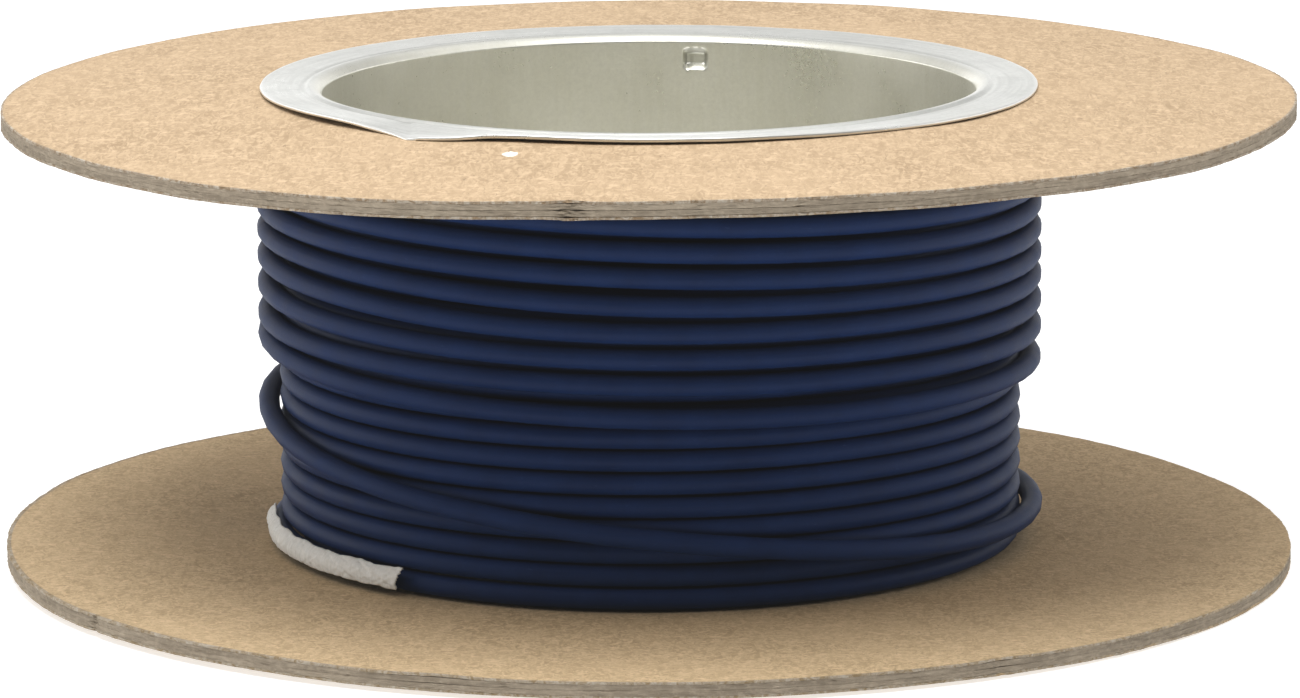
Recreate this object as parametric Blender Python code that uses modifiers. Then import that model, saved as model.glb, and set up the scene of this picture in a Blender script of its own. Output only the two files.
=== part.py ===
"""Wire spool: two laminated board flanges clamped on one flared sheet-metal barrel.

Insulated hook-up wire is wound on the barrel in three layers. Its outer end crosses the
winding once, from the last full turn of the third layer down to the lower flange, where
a narrow strip of tape holds it. The lengths are metres, +Z is up along the barrel, and
the origin is the centre of the lower lip's rest plane.
"""

import math

import bmesh
import bpy
from mathutils import Matrix, Vector

MM = 0.001

# Facets around each turned piece.
STEPS = 64

# Driving dimensions
FLANGE_RADIUS = 63.5 * MM
BOARD_THICKNESS = 1.6 * MM
TRAVERSE = 43.4 * MM              # clear width between the two boards
BORE_RADIUS = 32.1 * MM
SHEET = 0.4 * MM                  # thickness of the barrel's sheet metal
LIP_RADIUS = 38.2 * MM
LIP_RISE = 0.7 * MM               # crest of a lip above its board's outer face
WIRE_DIAMETER = 2.05 * MM
TOUCH_GAP = 0.3 * MM              # left between pieces that touch

# Heights that follow from them
LOWER_OUTER = LIP_RISE
LOWER_INNER = LOWER_OUTER + BOARD_THICKNESS
UPPER_INNER = LOWER_INNER + TRAVERSE
UPPER_OUTER = UPPER_INNER + BOARD_THICKNESS
TOTAL_HEIGHT = UPPER_OUTER + LIP_RISE

# Barrel details
BARREL_RADIUS = BORE_RADIUS + SHEET
BEND_RADIUS = 1.25 * MM           # bore wall to lip, on the visible side
BEND_STEPS = 5
CREST_WIDTH = 0.4 * MM
CREST_STEP = 0.15 * MM            # the crest stands this far above the flat band
CREST_SLOPE = 0.55 * MM           # radial run of the step down to the band
STOP_AZIMUTHS = [81.4, 201.4, 321.4]
STOP_WIDTH = 2.6 * MM
STOP_HEIGHT = 2.2 * MM
STOP_REACH = 0.8 * MM             # how far a stop stands out of the barrel
STOP_WALL = 0.33 * MM
STOP_SETBACK = 0.15 * MM          # clearance between a stop and the board it holds

# Board details
BOARD_HOLE_RADIUS = BARREL_RADIUS + TOUCH_GAP
LINER = 0.2 * MM
GLUE_LINE = 0.1 * MM
CORE_PLY = (BOARD_THICKNESS - 2 * LINER - 3 * GLUE_LINE) / 2

# Winding details
WIRE_RADIUS = WIRE_DIAMETER / 2
LAYER_1_INNER = BARREL_RADIUS + TOUCH_GAP
LAYER_1_OUTER = BARREL_RADIUS + WIRE_DIAMETER
LAYER_2_INNER = LAYER_1_OUTER + TOUCH_GAP
LAYER_2_OUTER = BARREL_RADIUS + 2 * WIRE_DIAMETER - TOUCH_GAP
LAYER_3_INNER = LAYER_2_OUTER + TOUCH_GAP
LAYER_3_OUTER = BARREL_RADIUS + 3 * WIRE_DIAMETER
LAYER_3_BOTTOM = 24.95 * MM
RING_CORNER = 0.5 * MM
CROSSING_POINTS = 80

# The wire from its last full turn to its taped end, as degrees counter-clockwise from +X
# (counted on through the turns), radius and height in millimetres.
CROSSING_ROUTE = [
    (150, 37.65, 23.6),
    (183, 37.65, 23.25),
    (210, 37.65, 22.7),
    (235, 37.65, 22.15),
    (270, 37.65, 21.5),
    (306, 37.65, 21.0),
    (342, 37.65, 20.7),
    (360, 37.60, 20.4),
    (400, 37.60, 19.7),
    (440, 37.60, 18.9),
    (480, 37.65, 18.1),
    (515, 37.70, 17.3),
    (540, 37.70, 16.4),
    (560, 37.65, 14.8),
    (600, 37.65, 11.9),
    (640, 37.65, 9.0),
    (665, 37.65, 7.2),
    (680, 37.65, 6.4),
    (700, 37.70, 5.9),
    (720, 37.80, 5.8),
    (745, 37.85, 5.7),
    (775, 37.80, 5.4),
    (800, 37.75, 5.0),
    (830, 37.35, 4.4),
    (855, 36.90, 4.0),
    (868, 36.72, 3.87),
    (905, 36.70, 3.85),
    (925, 36.70, 3.85),
    (946, 36.70, 3.85),
]
CHANNEL_START = 800               # degrees, where the wire dips below the second layer's surface

# Tape over the wire's outer end
TAPE_THICKNESS = 0.15 * MM
TAPE_FROM = 181.5                 # degrees
TAPE_TO = 229
TAPE_RADIUS = 36.7 * MM           # centre of the wire under it
TAPE_HEIGHT = 3.85 * MM
TAPE_HUG = WIRE_RADIUS + 0.27 * MM
TAPE_LOW_ANGLE = -40              # degrees around the wire, from its outer side
TAPE_HIGH_ANGLE = 78

# Tape under the first turn
START_TAPE_FROM = 96
START_TAPE_TO = 126
START_TAPE_WIDTH = 12.0 * MM
START_TAPE_RADIUS = BARREL_RADIUS + 0.1 * MM
START_TAPE_THICKNESS = 0.12 * MM
START_TAPE_TOP = UPPER_INNER - 3.0 * MM


def clear_scene():
    """Start from an empty file, with one collection for the parts and one for the cutters."""
    for old in list(bpy.data.objects):
        bpy.data.objects.remove(old, do_unlink=True)
    made = []
    for name in ("wire_spool", "cutters"):
        collection = bpy.data.collections.new(name)
        bpy.context.scene.collection.children.link(collection)
        made.append(collection)
    return made


PARTS, CUTTERS = clear_scene()


def make_material(name, colour, roughness, metallic=0.0):
    """A Principled material of one colour."""
    material = bpy.data.materials.new(name)
    material.use_nodes = True
    shader = material.node_tree.nodes["Principled BSDF"]
    shader.inputs["Base Color"].default_value = (*colour, 1.0)
    shader.inputs["Roughness"].default_value = roughness
    shader.inputs["Metallic"].default_value = metallic
    material.diffuse_color = (*colour, 1.0)
    return material


KRAFT = make_material("kraft_liner", (0.69, 0.53, 0.36), 0.9)
CHIPBOARD = make_material("chipboard_ply", (0.33, 0.27, 0.19), 0.95)
METAL = make_material("barrel_metal", (0.62, 0.63, 0.60), 0.38, 1.0)
INSULATION = make_material("wire_insulation", (0.02, 0.04, 0.13), 0.45)
TAPE = make_material("masking_tape", (0.58, 0.56, 0.48), 0.8)


def polar(radius, degrees, height):
    """A point given by its radius and azimuth about the barrel's axis, and its height."""
    angle = math.radians(degrees)
    return Vector((radius * math.cos(angle), radius * math.sin(angle), height))


def shade_round(mesh):
    """Smooth shading that keeps edges over 30 degrees sharp."""
    mesh.shade_smooth()
    mesh.set_sharp_from_angle(angle=math.radians(30))


def finish(obj, material):
    """Give a sub-part its material and put it in the parts' collection."""
    obj.data.materials.append(material)
    PARTS.objects.link(obj)
    return obj


def turned(name, profile, material, closed=True, start=0.0, sweep=360.0, steps=STEPS):
    """A profile of (radius, height) points turned about Z. The points run down the outer side."""
    mesh = bpy.data.meshes.new(name)
    points = [(radius, 0.0, height) for radius, height in profile]
    last = len(points) if closed else len(points) - 1
    edges = [(i, (i + 1) % len(points)) for i in range(last)]
    mesh.from_pydata(points, edges, [])
    obj = bpy.data.objects.new(name, mesh)
    obj.rotation_euler.z = math.radians(start)
    screw = obj.modifiers.new("Turn", "SCREW")
    screw.axis = "Z"
    screw.angle = math.radians(sweep)
    screw.steps = steps
    screw.render_steps = steps
    screw.use_merge_vertices = sweep == 360.0
    screw.merge_threshold = 0.00001
    return finish(obj, material)


def ring_profile(inner, outer, low, high, corner=0.0):
    """A rectangle turned into a ring, with its outer corners cut off."""
    if corner == 0.0:
        return [(inner, high), (outer, high), (outer, low), (inner, low)]
    return [
        (inner, high),
        (outer - corner, high),
        (outer, high - corner),
        (outer, low + corner),
        (outer - corner, low),
        (inner, low),
    ]


def lip_side(bend, drop):
    """One side of the upper lip's sheet, from the bore wall out to its edge.

    bend is that side's bend radius, and drop its depth below the lip's visible side."""
    centre_r = BORE_RADIUS + BEND_RADIUS
    centre_z = TOTAL_HEIGHT - BEND_RADIUS
    points = []
    for step in range(BEND_STEPS + 1):
        angle = math.radians(180 - 90 * step / BEND_STEPS)
        points.append((centre_r + bend * math.cos(angle), centre_z + bend * math.sin(angle)))
    crest_end = centre_r + CREST_WIDTH
    band = TOTAL_HEIGHT - CREST_STEP - drop
    points.append((crest_end, TOTAL_HEIGHT - drop))
    points.append((crest_end + CREST_SLOPE, band))
    points.append((LIP_RADIUS, band))
    return points


def mirrored(points):
    """The same points for the lower end of the spool."""
    return [(radius, TOTAL_HEIGHT - height) for radius, height in points]


def box_mesh(name, boxes):
    """One mesh of separate boxes, each given as (azimuth, near radius, far radius, width, low, high)."""
    built = bmesh.new()
    for azimuth, near, far, width, low, high in boxes:
        size = Matrix.Diagonal((far - near, width, high - low, 1.0))
        place = Matrix.Translation(((near + far) / 2, 0.0, (low + high) / 2))
        turn = Matrix.Rotation(math.radians(azimuth), 4, "Z")
        bmesh.ops.create_cube(built, size=1.0, matrix=turn @ place @ size)
    mesh = bpy.data.meshes.new(name)
    built.to_mesh(mesh)
    built.free()
    return mesh


def add_cutter(name, mesh):
    """Keep a mesh as a hidden cutter."""
    obj = bpy.data.objects.new(name, mesh)
    obj.hide_render = True
    obj.display_type = "WIRE"
    CUTTERS.objects.link(obj)
    return obj


def add_boolean(obj, cutter, operation):
    """Cut or join with the exact solver."""
    modifier = obj.modifiers.new(cutter.name, "BOOLEAN")
    modifier.operation = operation
    modifier.solver = "EXACT"
    modifier.object = cutter


def stop_boxes(grow, inner, outer):
    """The six stops, three under each board, as boxes for box_mesh."""
    high = UPPER_INNER - STOP_SETBACK
    low = high - STOP_HEIGHT
    boxes = []
    for azimuth in STOP_AZIMUTHS:
        upper = (azimuth, inner, outer, STOP_WIDTH + 2 * grow, low - grow, high + grow)
        boxes.append(upper)
        lower = (TOTAL_HEIGHT - high - grow, TOTAL_HEIGHT - low + grow)
        boxes.append(upper[:4] + lower)
    return boxes


def make_barrel():
    """The rolled sheet-metal barrel: bore wall, a flared lip at each end and six pressed stops."""
    upper_outside = lip_side(BEND_RADIUS - SHEET, SHEET)
    upper_inside = lip_side(BEND_RADIUS, 0.0)
    outside = upper_outside[::-1] + mirrored(upper_outside)
    inside = mirrored(upper_inside)[::-1] + upper_inside
    barrel = turned("barrel", outside + inside, METAL)
    face = BARREL_RADIUS + STOP_REACH
    bumps = box_mesh("stop_bumps", stop_boxes(0.0, BORE_RADIUS + SHEET / 2, face))
    add_boolean(barrel, add_cutter("stop_bumps", bumps), "UNION")
    pockets = box_mesh("stop_pockets", stop_boxes(-STOP_WALL, BORE_RADIUS - 1 * MM, face - STOP_WALL))
    add_boolean(barrel, add_cutter("stop_pockets", pockets), "DIFFERENCE")
    return barrel


def make_board(side, outer_face, inward):
    """One flange: a kraft liner on each face of two chipboard plies. inward is +1 or -1."""
    pieces = [
        ("outer_liner", LINER, KRAFT),
        ("outer_ply", CORE_PLY, CHIPBOARD),
        ("inner_ply", CORE_PLY, CHIPBOARD),
        ("inner_liner", LINER, KRAFT),
    ]
    face = outer_face
    for name, thickness, material in pieces:
        far = face + inward * thickness
        profile = ring_profile(BOARD_HOLE_RADIUS, FLANGE_RADIUS, min(face, far), max(face, far))
        turned(f"{side}_{name}", profile, material)
        face = far + inward * GLUE_LINE


def smooth_route(route, count):
    """Points spread evenly along a smooth curve through a route's own points, in its own terms."""
    samples = []
    per_span = 12
    for i in range(len(route) - 1):
        before = Vector(route[max(i - 1, 0)])
        here = Vector(route[i])
        there = Vector(route[i + 1])
        after = Vector(route[min(i + 2, len(route) - 1)])
        span = there[0] - here[0]
        slope_here = (there - before) / (there[0] - before[0]) * span
        slope_there = (after - here) / (after[0] - here[0]) * span
        for step in range(per_span):
            t = step / per_span
            point = (2 * t**3 - 3 * t**2 + 1) * here + (t**3 - 2 * t**2 + t) * slope_here
            point += (3 * t**2 - 2 * t**3) * there + (t**3 - t**2) * slope_there
            samples.append(point)
    samples.append(Vector(route[-1]))
    first, last = samples[0][0], samples[-1][0]
    points = []
    position = 0
    for i in range(count):
        wanted = first + (last - first) * i / (count - 1)
        while position < len(samples) - 2 and samples[position + 1][0] < wanted:
            position += 1
        low, high = samples[position], samples[position + 1]
        share = (wanted - low[0]) / (high[0] - low[0])
        points.append(low.lerp(high, min(max(share, 0.0), 1.0)))
    return points


def route_tube(name, route, count, radius):
    """A tube with filled ends along a route of (degrees, radius, height) points."""
    curve = bpy.data.curves.new(name, "CURVE")
    curve.dimensions = "3D"
    curve.bevel_depth = radius
    curve.bevel_resolution = 2
    curve.use_fill_caps = True
    spline = curve.splines.new("POLY")
    spline.points.add(count - 1)
    for point, (degrees, distance, height) in zip(spline.points, smooth_route(route, count)):
        point.co = (*polar(distance * MM, degrees, height * MM), 1.0)
    return bpy.data.objects.new(name, curve)


def tube_as_mesh(name, route, count, radius):
    """The same tube as a closed mesh, for cutting."""
    obj = route_tube(name, route, count, radius)
    CUTTERS.objects.link(obj)
    evaluated = obj.evaluated_get(bpy.context.evaluated_depsgraph_get())
    mesh = bpy.data.meshes.new_from_object(evaluated)
    bpy.data.objects.remove(obj, do_unlink=True)
    built = bmesh.new()
    built.from_mesh(mesh)
    bmesh.ops.remove_doubles(built, verts=built.verts, dist=0.000001)
    built.to_mesh(mesh)
    built.free()
    return mesh


def make_winding():
    """The three layers as turned rings, and the wire's last turns as a tube along their route."""
    low = LOWER_INNER + TOUCH_GAP
    high = UPPER_INNER - TOUCH_GAP
    first = turned(
        "wire_layer_1", ring_profile(LAYER_1_INNER, LAYER_1_OUTER, low, high, RING_CORNER), INSULATION
    )
    reach = BARREL_RADIUS + STOP_REACH + TOUCH_GAP
    rooms = box_mesh("stop_rooms", stop_boxes(TOUCH_GAP, BORE_RADIUS, reach))
    add_boolean(first, add_cutter("stop_rooms", rooms), "DIFFERENCE")

    second = turned(
        "wire_layer_2", ring_profile(LAYER_2_INNER, LAYER_2_OUTER, low, high, RING_CORNER), INSULATION
    )
    tail = [point for point in CROSSING_ROUTE if point[0] >= CHANNEL_START]
    past_end = (tail[-1][0] + 1, *tail[-1][1:])
    channel_points = 24
    channel = tube_as_mesh("tail_channel", tail + [past_end], channel_points, WIRE_RADIUS + TOUCH_GAP)
    add_boolean(second, add_cutter("tail_channel", channel), "DIFFERENCE")

    turned(
        "wire_layer_3",
        ring_profile(LAYER_3_INNER, LAYER_3_OUTER, LAYER_3_BOTTOM, high, RING_CORNER),
        INSULATION,
    )
    finish(route_tube("wire_crossing", CROSSING_ROUTE, CROSSING_POINTS, WIRE_RADIUS), INSULATION)


def make_end_tape():
    """The narrow strip over the wire's outer end, curved around the wire and along its turn."""
    profile = []
    arc_steps = 7
    for step in range(arc_steps + 1):
        angle = math.radians(TAPE_HIGH_ANGLE + (TAPE_LOW_ANGLE - TAPE_HIGH_ANGLE) * step / arc_steps)
        radius = TAPE_RADIUS + TAPE_HUG * math.cos(angle)
        profile.append((radius, TAPE_HEIGHT + TAPE_HUG * math.sin(angle)))
    tape = turned("end_tape", profile, TAPE, False, TAPE_FROM, TAPE_TO - TAPE_FROM, 20)
    add_thickness(tape, TAPE_THICKNESS)


def make_start_tape():
    """The strip on the barrel that holds the wire's inner end under the first layer."""
    profile = [
        (START_TAPE_RADIUS, START_TAPE_TOP),
        (START_TAPE_RADIUS, START_TAPE_TOP - START_TAPE_WIDTH),
    ]
    sweep = START_TAPE_TO - START_TAPE_FROM
    tape = turned("start_tape", profile, TAPE, False, START_TAPE_FROM, sweep, 8)
    add_thickness(tape, START_TAPE_THICKNESS)


def add_thickness(obj, thickness):
    """Thicken an open turned strip outward."""
    solidify = obj.modifiers.new("Thickness", "SOLIDIFY")
    solidify.thickness = thickness
    solidify.offset = 1.0
    solidify.use_even_offset = True


def main():
    make_barrel()
    make_board("upper", UPPER_OUTER, -1)
    make_board("lower", LOWER_OUTER, 1)
    make_winding()
    make_end_tape()
    make_start_tape()
    for obj in PARTS.objects:
        if obj.type == "MESH":
            shade_round(obj.data)


main()
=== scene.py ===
import math

import bmesh
import bpy
import numpy as np
from mathutils import Matrix, Vector


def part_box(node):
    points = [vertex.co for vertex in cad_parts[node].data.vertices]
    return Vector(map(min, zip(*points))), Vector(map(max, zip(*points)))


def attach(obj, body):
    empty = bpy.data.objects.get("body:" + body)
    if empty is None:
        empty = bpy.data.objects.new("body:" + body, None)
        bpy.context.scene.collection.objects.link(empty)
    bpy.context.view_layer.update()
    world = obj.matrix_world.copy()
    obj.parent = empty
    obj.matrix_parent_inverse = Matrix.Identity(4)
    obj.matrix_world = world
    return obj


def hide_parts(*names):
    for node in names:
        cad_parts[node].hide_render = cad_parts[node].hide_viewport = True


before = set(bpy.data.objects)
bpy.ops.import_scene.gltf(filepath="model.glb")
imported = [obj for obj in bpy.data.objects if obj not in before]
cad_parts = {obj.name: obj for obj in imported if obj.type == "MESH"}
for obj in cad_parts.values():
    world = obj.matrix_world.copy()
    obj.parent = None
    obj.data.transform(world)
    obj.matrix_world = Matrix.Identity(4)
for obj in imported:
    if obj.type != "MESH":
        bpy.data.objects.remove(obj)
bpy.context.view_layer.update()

MM = 0.001
TURN = 2 * math.pi

# Sizes read from the frame, in millimetres
BARREL_HIGH = np.array(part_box("barrel")[1]) / MM
BOARD_HIGH = np.array(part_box("upper_outer_liner")[1]) / MM
TOTAL_HEIGHT = BARREL_HIGH[2]
LIP_RADIUS = BARREL_HIGH[0]
FLANGE_RADIUS = BOARD_HIGH[0]

# Barrel sheet, in millimetres
SHEET = 0.4
BORE_RADIUS = 32.1
BARREL_RADIUS = BORE_RADIUS + SHEET
BOARD_HOLE_RADIUS = BARREL_RADIUS + 0.3
BEND_RADIUS = 1.25
LIP_BAND_DROP = 0.15              # the lip's flat band lies this far under the bend's crest
STOP_AZIMUTHS = [81.4, 201.4, 321.4]
STOP_HALF_WIDTH = 1.35
STOP_ROOF = 46.25                 # height of the upper pockets' roofs
STOP_HEIGHT = 2.45
STOP_ARCH = 0.22                  # how much lower a roof is at its sides
STOP_LEDGE = 0.62
STOP_DEPTH = 0.72
SEAM_AZIMUTH = 234.2
EDGE_ROUND = 0.16
GROOVE_RADIUS = 33.85
GROOVE_DEPTH = 0.18
GROOVE_WIDTH = 0.28

# Wire, in millimetres
WIRE_DIAMETER = 2.05
WIRE_RADIUS = WIRE_DIAMETER / 2
LAYER_RADII = [BARREL_RADIUS + WIRE_DIAMETER * (layer + 0.5) for layer in range(3)]

# The wire from its last full turn to its taped end, as degrees counter-clockwise from +X
# (counted on through the turns), radius and height in millimetres.
CROSSING_ROUTE = [
    (150, 37.65, 23.6),
    (183, 37.65, 23.25),
    (210, 37.65, 22.7),
    (235, 37.65, 22.15),
    (270, 37.65, 21.5),
    (306, 37.65, 21.0),
    (342, 37.65, 20.7),
    (360, 37.60, 20.4),
    (400, 37.60, 19.7),
    (440, 37.60, 18.9),
    (480, 37.65, 18.1),
    (515, 37.70, 17.3),
    (540, 37.70, 16.4),
    (560, 37.65, 14.8),
    (600, 37.65, 11.9),
    (640, 37.65, 9.0),
    (665, 37.65, 7.2),
    (680, 37.65, 6.4),
    (700, 37.70, 5.9),
    (720, 37.80, 5.8),
    (745, 37.85, 5.7),
    (775, 37.80, 5.4),
    (800, 37.75, 5.0),
    (830, 37.35, 4.4),
    (855, 36.90, 4.0),
    (868, 36.72, 3.87),
    (905, 36.70, 3.85),
    (925, 36.70, 3.85),
    (946, 36.70, 3.85),
]


# ---------------------------------------------------------------- small helpers

def smooth(t):
    """0 to 1 with flat ends."""
    t = np.clip(t, 0.0, 1.0)
    return t * t * (3 - 2 * t)


def degrees_past(azimuth, centre):
    """How far an azimuth is past another, from -180 to 180 degrees."""
    return (np.asarray(azimuth) - centre + 180) % 360 - 180


def near(azimuth, centre, width):
    """A bump of height 1 around one azimuth. All three are degrees."""
    return np.exp(-((degrees_past(azimuth, centre) / width) ** 2))


def ripple(azimuth, seed, low, high, count=8):
    """A smooth closed wave around the axis, about -1 to 1, made of a few random harmonics."""
    rng = np.random.default_rng(seed)
    angle = np.radians(azimuth)
    total = 0.0
    for _ in range(count):
        harmonic = rng.integers(low, high + 1)
        total = total + np.sin(harmonic * angle + rng.uniform(0, TURN)) * rng.uniform(0.5, 1.0)
    return total / math.sqrt(count)


def hermite(t, here, there, slope_here, slope_there):
    """A smooth step from one value to the next, with the slopes given per whole step."""
    leaving = (2 * t**3 - 3 * t**2 + 1) * here + (t**3 - 2 * t**2 + t) * slope_here
    return leaving + (3 * t**2 - 2 * t**3) * there + (t**3 - t**2) * slope_there


def xyz(radius, azimuth, height):
    """Points in metres from cylindrical ones in millimetres and degrees."""
    angle = np.radians(azimuth)
    height = height + 0 * angle
    return np.stack([radius * np.cos(angle), radius * np.sin(angle), height], axis=-1) * MM


def shade_round(mesh, degrees=35):
    mesh.shade_smooth()
    mesh.set_sharp_from_angle(angle=math.radians(degrees))


def skin(name, grid, close_u=False, close_v=False):
    """A quad mesh over a grid of points, closed on itself in either direction."""
    count_u, count_v = grid.shape[:2]
    index = np.arange(count_u * count_v).reshape(count_u, count_v)
    if close_u:
        index = np.concatenate([index, index[:1]], axis=0)
    if close_v:
        index = np.concatenate([index, index[:, :1]], axis=1)
    corners = [index[:-1, :-1], index[1:, :-1], index[1:, 1:], index[:-1, 1:]]
    quads = np.stack(corners, axis=-1).reshape(-1, 4)
    mesh = bpy.data.meshes.new(name)
    mesh.from_pydata(grid.reshape(-1, 3).tolist(), [], quads.tolist())
    obj = bpy.data.objects.new(name, mesh)
    bpy.context.scene.collection.objects.link(obj)
    return obj


def face_outward(obj):
    """Turn a closed mesh's faces outward."""
    built = bmesh.new()
    built.from_mesh(obj.data)
    if built.calc_volume(signed=True) < 0:
        bmesh.ops.reverse_faces(built, faces=built.faces)
    built.to_mesh(obj.data)
    built.free()


def place(obj, material, slot, *nodes):
    """Give a piece its material, hang it under the root, and hide the CAD parts it stands for."""
    obj.data.materials.append(material)
    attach(obj, "root")
    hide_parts(*nodes)
    return obj


# ---------------------------------------------------------------- materials

class Nodes:
    """Shorthand for one material's node tree."""

    def __init__(self, name):
        self.material = bpy.data.materials.new(name)
        self.material.use_nodes = True
        self.tree = self.material.node_tree
        self.shader = self.tree.nodes["Principled BSDF"]
        self.position = self.add("ShaderNodeTexCoord").outputs["Object"]

    def add(self, kind, **settings):
        node = self.tree.nodes.new(kind)
        for key, value in settings.items():
            setattr(node, key, value)
        return node

    def feed(self, socket, value):
        if isinstance(value, bpy.types.NodeSocket):
            self.tree.links.new(value, socket)
        else:
            socket.default_value = value

    def math(self, operation, first, second=0.0, clamp=False):
        node = self.add("ShaderNodeMath", operation=operation, use_clamp=clamp)
        self.feed(node.inputs[0], first)
        self.feed(node.inputs[1], second)
        return node.outputs[0]

    def stretch(self, vector, scale, turn=0.0):
        node = self.add("ShaderNodeMapping")
        self.feed(node.inputs["Vector"], vector)
        node.inputs["Scale"].default_value = scale
        node.inputs["Rotation"].default_value = (0.0, 0.0, math.radians(turn))
        return node.outputs["Vector"]

    def noise(self, vector, scale, detail=4.0, roughness=0.6, distortion=0.0):
        node = self.add("ShaderNodeTexNoise")
        self.feed(node.inputs["Vector"], vector)
        node.inputs["Scale"].default_value = scale
        node.inputs["Detail"].default_value = detail
        node.inputs["Roughness"].default_value = roughness
        node.inputs["Distortion"].default_value = distortion
        return node.outputs["Fac"]

    def remap(self, value, low, high, to_low=0.0, to_high=1.0):
        node = self.add("ShaderNodeMapRange")
        self.feed(node.inputs["Value"], value)
        node.inputs["From Min"].default_value = low
        node.inputs["From Max"].default_value = high
        node.inputs["To Min"].default_value = to_low
        node.inputs["To Max"].default_value = to_high
        return node.outputs["Result"]

    def mix(self, factor, first, second):
        node = self.add("ShaderNodeMix", data_type="RGBA", blend_type="MIX")
        self.feed(node.inputs["Factor"], factor)
        for socket, colour in (("A", first), ("B", second)):
            is_node = isinstance(colour, bpy.types.NodeSocket)
            self.feed(node.inputs[socket], colour if is_node else (*colour, 1.0))
        return node.outputs["Result"]

    def tint(self, colour, tone, where, amount):
        """The colour with a share of a second tone, where a 0 to 1 mask says."""
        return self.mix(self.math("MULTIPLY", where, amount), colour, tone)

    def axes(self):
        """The position's X, Y and Z, in metres."""
        parts = self.add("ShaderNodeSeparateXYZ")
        self.feed(parts.inputs[0], self.position)
        return parts.outputs

    def radius_mm(self):
        """Distance from the barrel's axis, in millimetres."""
        x, y, _ = self.axes()
        squares = self.math("ADD", self.math("MULTIPLY", x, x), self.math("MULTIPLY", y, y))
        return self.math("MULTIPLY", self.math("SQRT", squares), 1 / MM)

    def height_mm(self):
        """Height above the floor, in millimetres."""
        return self.math("MULTIPLY", self.axes()[2], 1 / MM)

    def around(self, radius_m):
        """Coordinates that run along the turns: arc length, height and radius, in metres."""
        x, y, z = self.axes()
        angle = self.math("ARCTAN2", y, x)
        join = self.add("ShaderNodeCombineXYZ")
        self.feed(join.inputs[0], self.math("MULTIPLY", angle, radius_m))
        self.feed(join.inputs[1], z)
        self.feed(join.inputs[2], self.math("MULTIPLY", self.radius_mm(), MM))
        return join.outputs[0]

    def bump(self, height, strength, distance):
        node = self.add("ShaderNodeBump")
        self.feed(node.inputs["Height"], height)
        node.inputs["Strength"].default_value = strength
        node.inputs["Distance"].default_value = distance
        self.tree.links.new(node.outputs["Normal"], self.shader.inputs["Normal"])

    def surface(self, colour, roughness, metallic=0.0, specular=0.5):
        self.feed(self.shader.inputs["Base Color"], colour)
        self.feed(self.shader.inputs["Roughness"], roughness)
        self.shader.inputs["Metallic"].default_value = metallic
        self.shader.inputs["Specular IOR Level"].default_value = specular
        return self.material


def darker(tone, factor):
    return tuple(part * factor for part in tone)


def paler(tone, factor):
    return tuple(min(1.0, part * factor + 0.02) for part in tone)


def fibre_streaks(n, sheet):
    """Short curled fibres in three directions, as a 0 to 1 mask."""
    fibres = None
    for number, turn in enumerate((12, 72, 132)):
        moved = n.add("ShaderNodeVectorMath", operation="ADD")
        n.feed(moved.inputs[0], sheet)
        moved.inputs[1].default_value = (0.31 * number, 0.17 * number, 0.0)
        turned = n.stretch(moved.outputs[0], (900.0, 3400.0, 1200.0), turn)
        streak = n.remap(n.noise(turned, 1.0, 1.5, 0.5, 0.9), 0.60, 0.72)
        fibres = streak if fibres is None else n.math("MAXIMUM", fibres, streak)
    return fibres


def scrape(n, grain, x, y, half_length, half_width):
    """A small ragged scrape, as a 0 to 1 mask; its place and size are in millimetres."""
    offset = n.add("ShaderNodeVectorMath", operation="MULTIPLY_ADD")
    n.feed(offset.inputs[0], n.position)
    offset.inputs[1].default_value = (1 / (half_length * MM), 1 / (half_width * MM), 0.0)
    offset.inputs[2].default_value = (-x / half_length, -y / half_width, 0.0)
    reach = n.add("ShaderNodeVectorMath", operation="LENGTH")
    n.feed(reach.inputs[0], offset.outputs[0])
    torn = n.math("ADD", reach.outputs["Value"], n.remap(grain, 0.3, 0.7, -0.35, 0.35))
    return n.remap(torn, 1.1, 0.85)


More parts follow.
